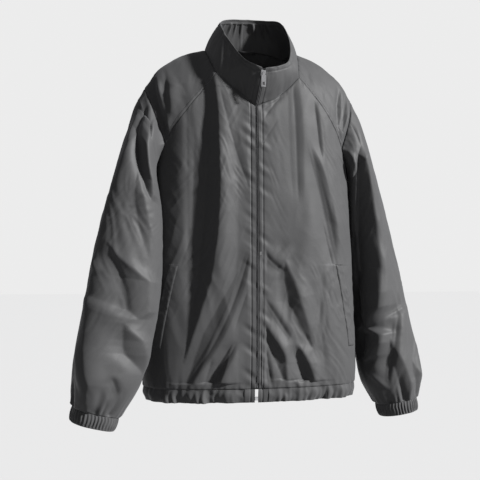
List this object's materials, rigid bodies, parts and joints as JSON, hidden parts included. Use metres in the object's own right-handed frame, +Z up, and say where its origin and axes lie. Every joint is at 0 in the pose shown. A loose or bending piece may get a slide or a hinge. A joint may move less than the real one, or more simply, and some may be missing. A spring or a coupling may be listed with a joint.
{
  "type": "windbreaker jacket",
  "caption": "Zip-front windbreaker jacket in its worn, filled-out shape, with a stand collar, raglan-like shoulder panels, slanted side pockets, elastic cuffs and an elastic hem band.",
  "frame": {"origin": "between the wearer's shoulders, level with the tops of the shoulder panels where they meet the collar", "axes": "+Z up, -Y the way the wearer faces, +X towards the wearer's left; metres"},
  "size_m": [0.7178, 0.224, 0.8143],
  "materials": {
    "windbreaker_cloth": "thin plain-woven synthetic with a slight sheen",
    "zip_tape": "woven tape and dark coil",
    "zip_metal": "dark satin metal"
  },
  "bodies": {
    "jacket": {"back": "windbreaker_cloth", "collar": "windbreaker_cloth", "hanger_loop": "windbreaker_cloth", "hem_band": "windbreaker_cloth", "left_cuff": "windbreaker_cloth", "left_front": "windbreaker_cloth", "left_hem_tab": "windbreaker_cloth", "left_pocket_welt": "windbreaker_cloth", "left_shoulder": "windbreaker_cloth", "left_sleeve": "windbreaker_cloth", "left_zip_coil": "zip_tape", "left_zip_tape": "zip_tape", "right_cuff": "windbreaker_cloth", "right_front": "windbreaker_cloth", "right_hem_tab": "windbreaker_cloth", "right_pocket_welt": "windbreaker_cloth", "right_shoulder": "windbreaker_cloth", "right_sleeve": "windbreaker_cloth", "right_zip_coil": "zip_tape", "right_zip_tape": "zip_tape", "zip_retainer": "zip_metal", "zip_slider": "zip_metal"},
    "pull_tab": {"zip_pull": "zip_metal"}
  },
  "joints": [
    {"name": "pull_tab_hinge", "type": "hinge", "parent": "jacket", "child": "pull_tab", "pos_m": [-0.00024, -0.11453, -0.06521], "axis": [-1, 0, 0], "range_deg": [-20, 120]}
  ]
}
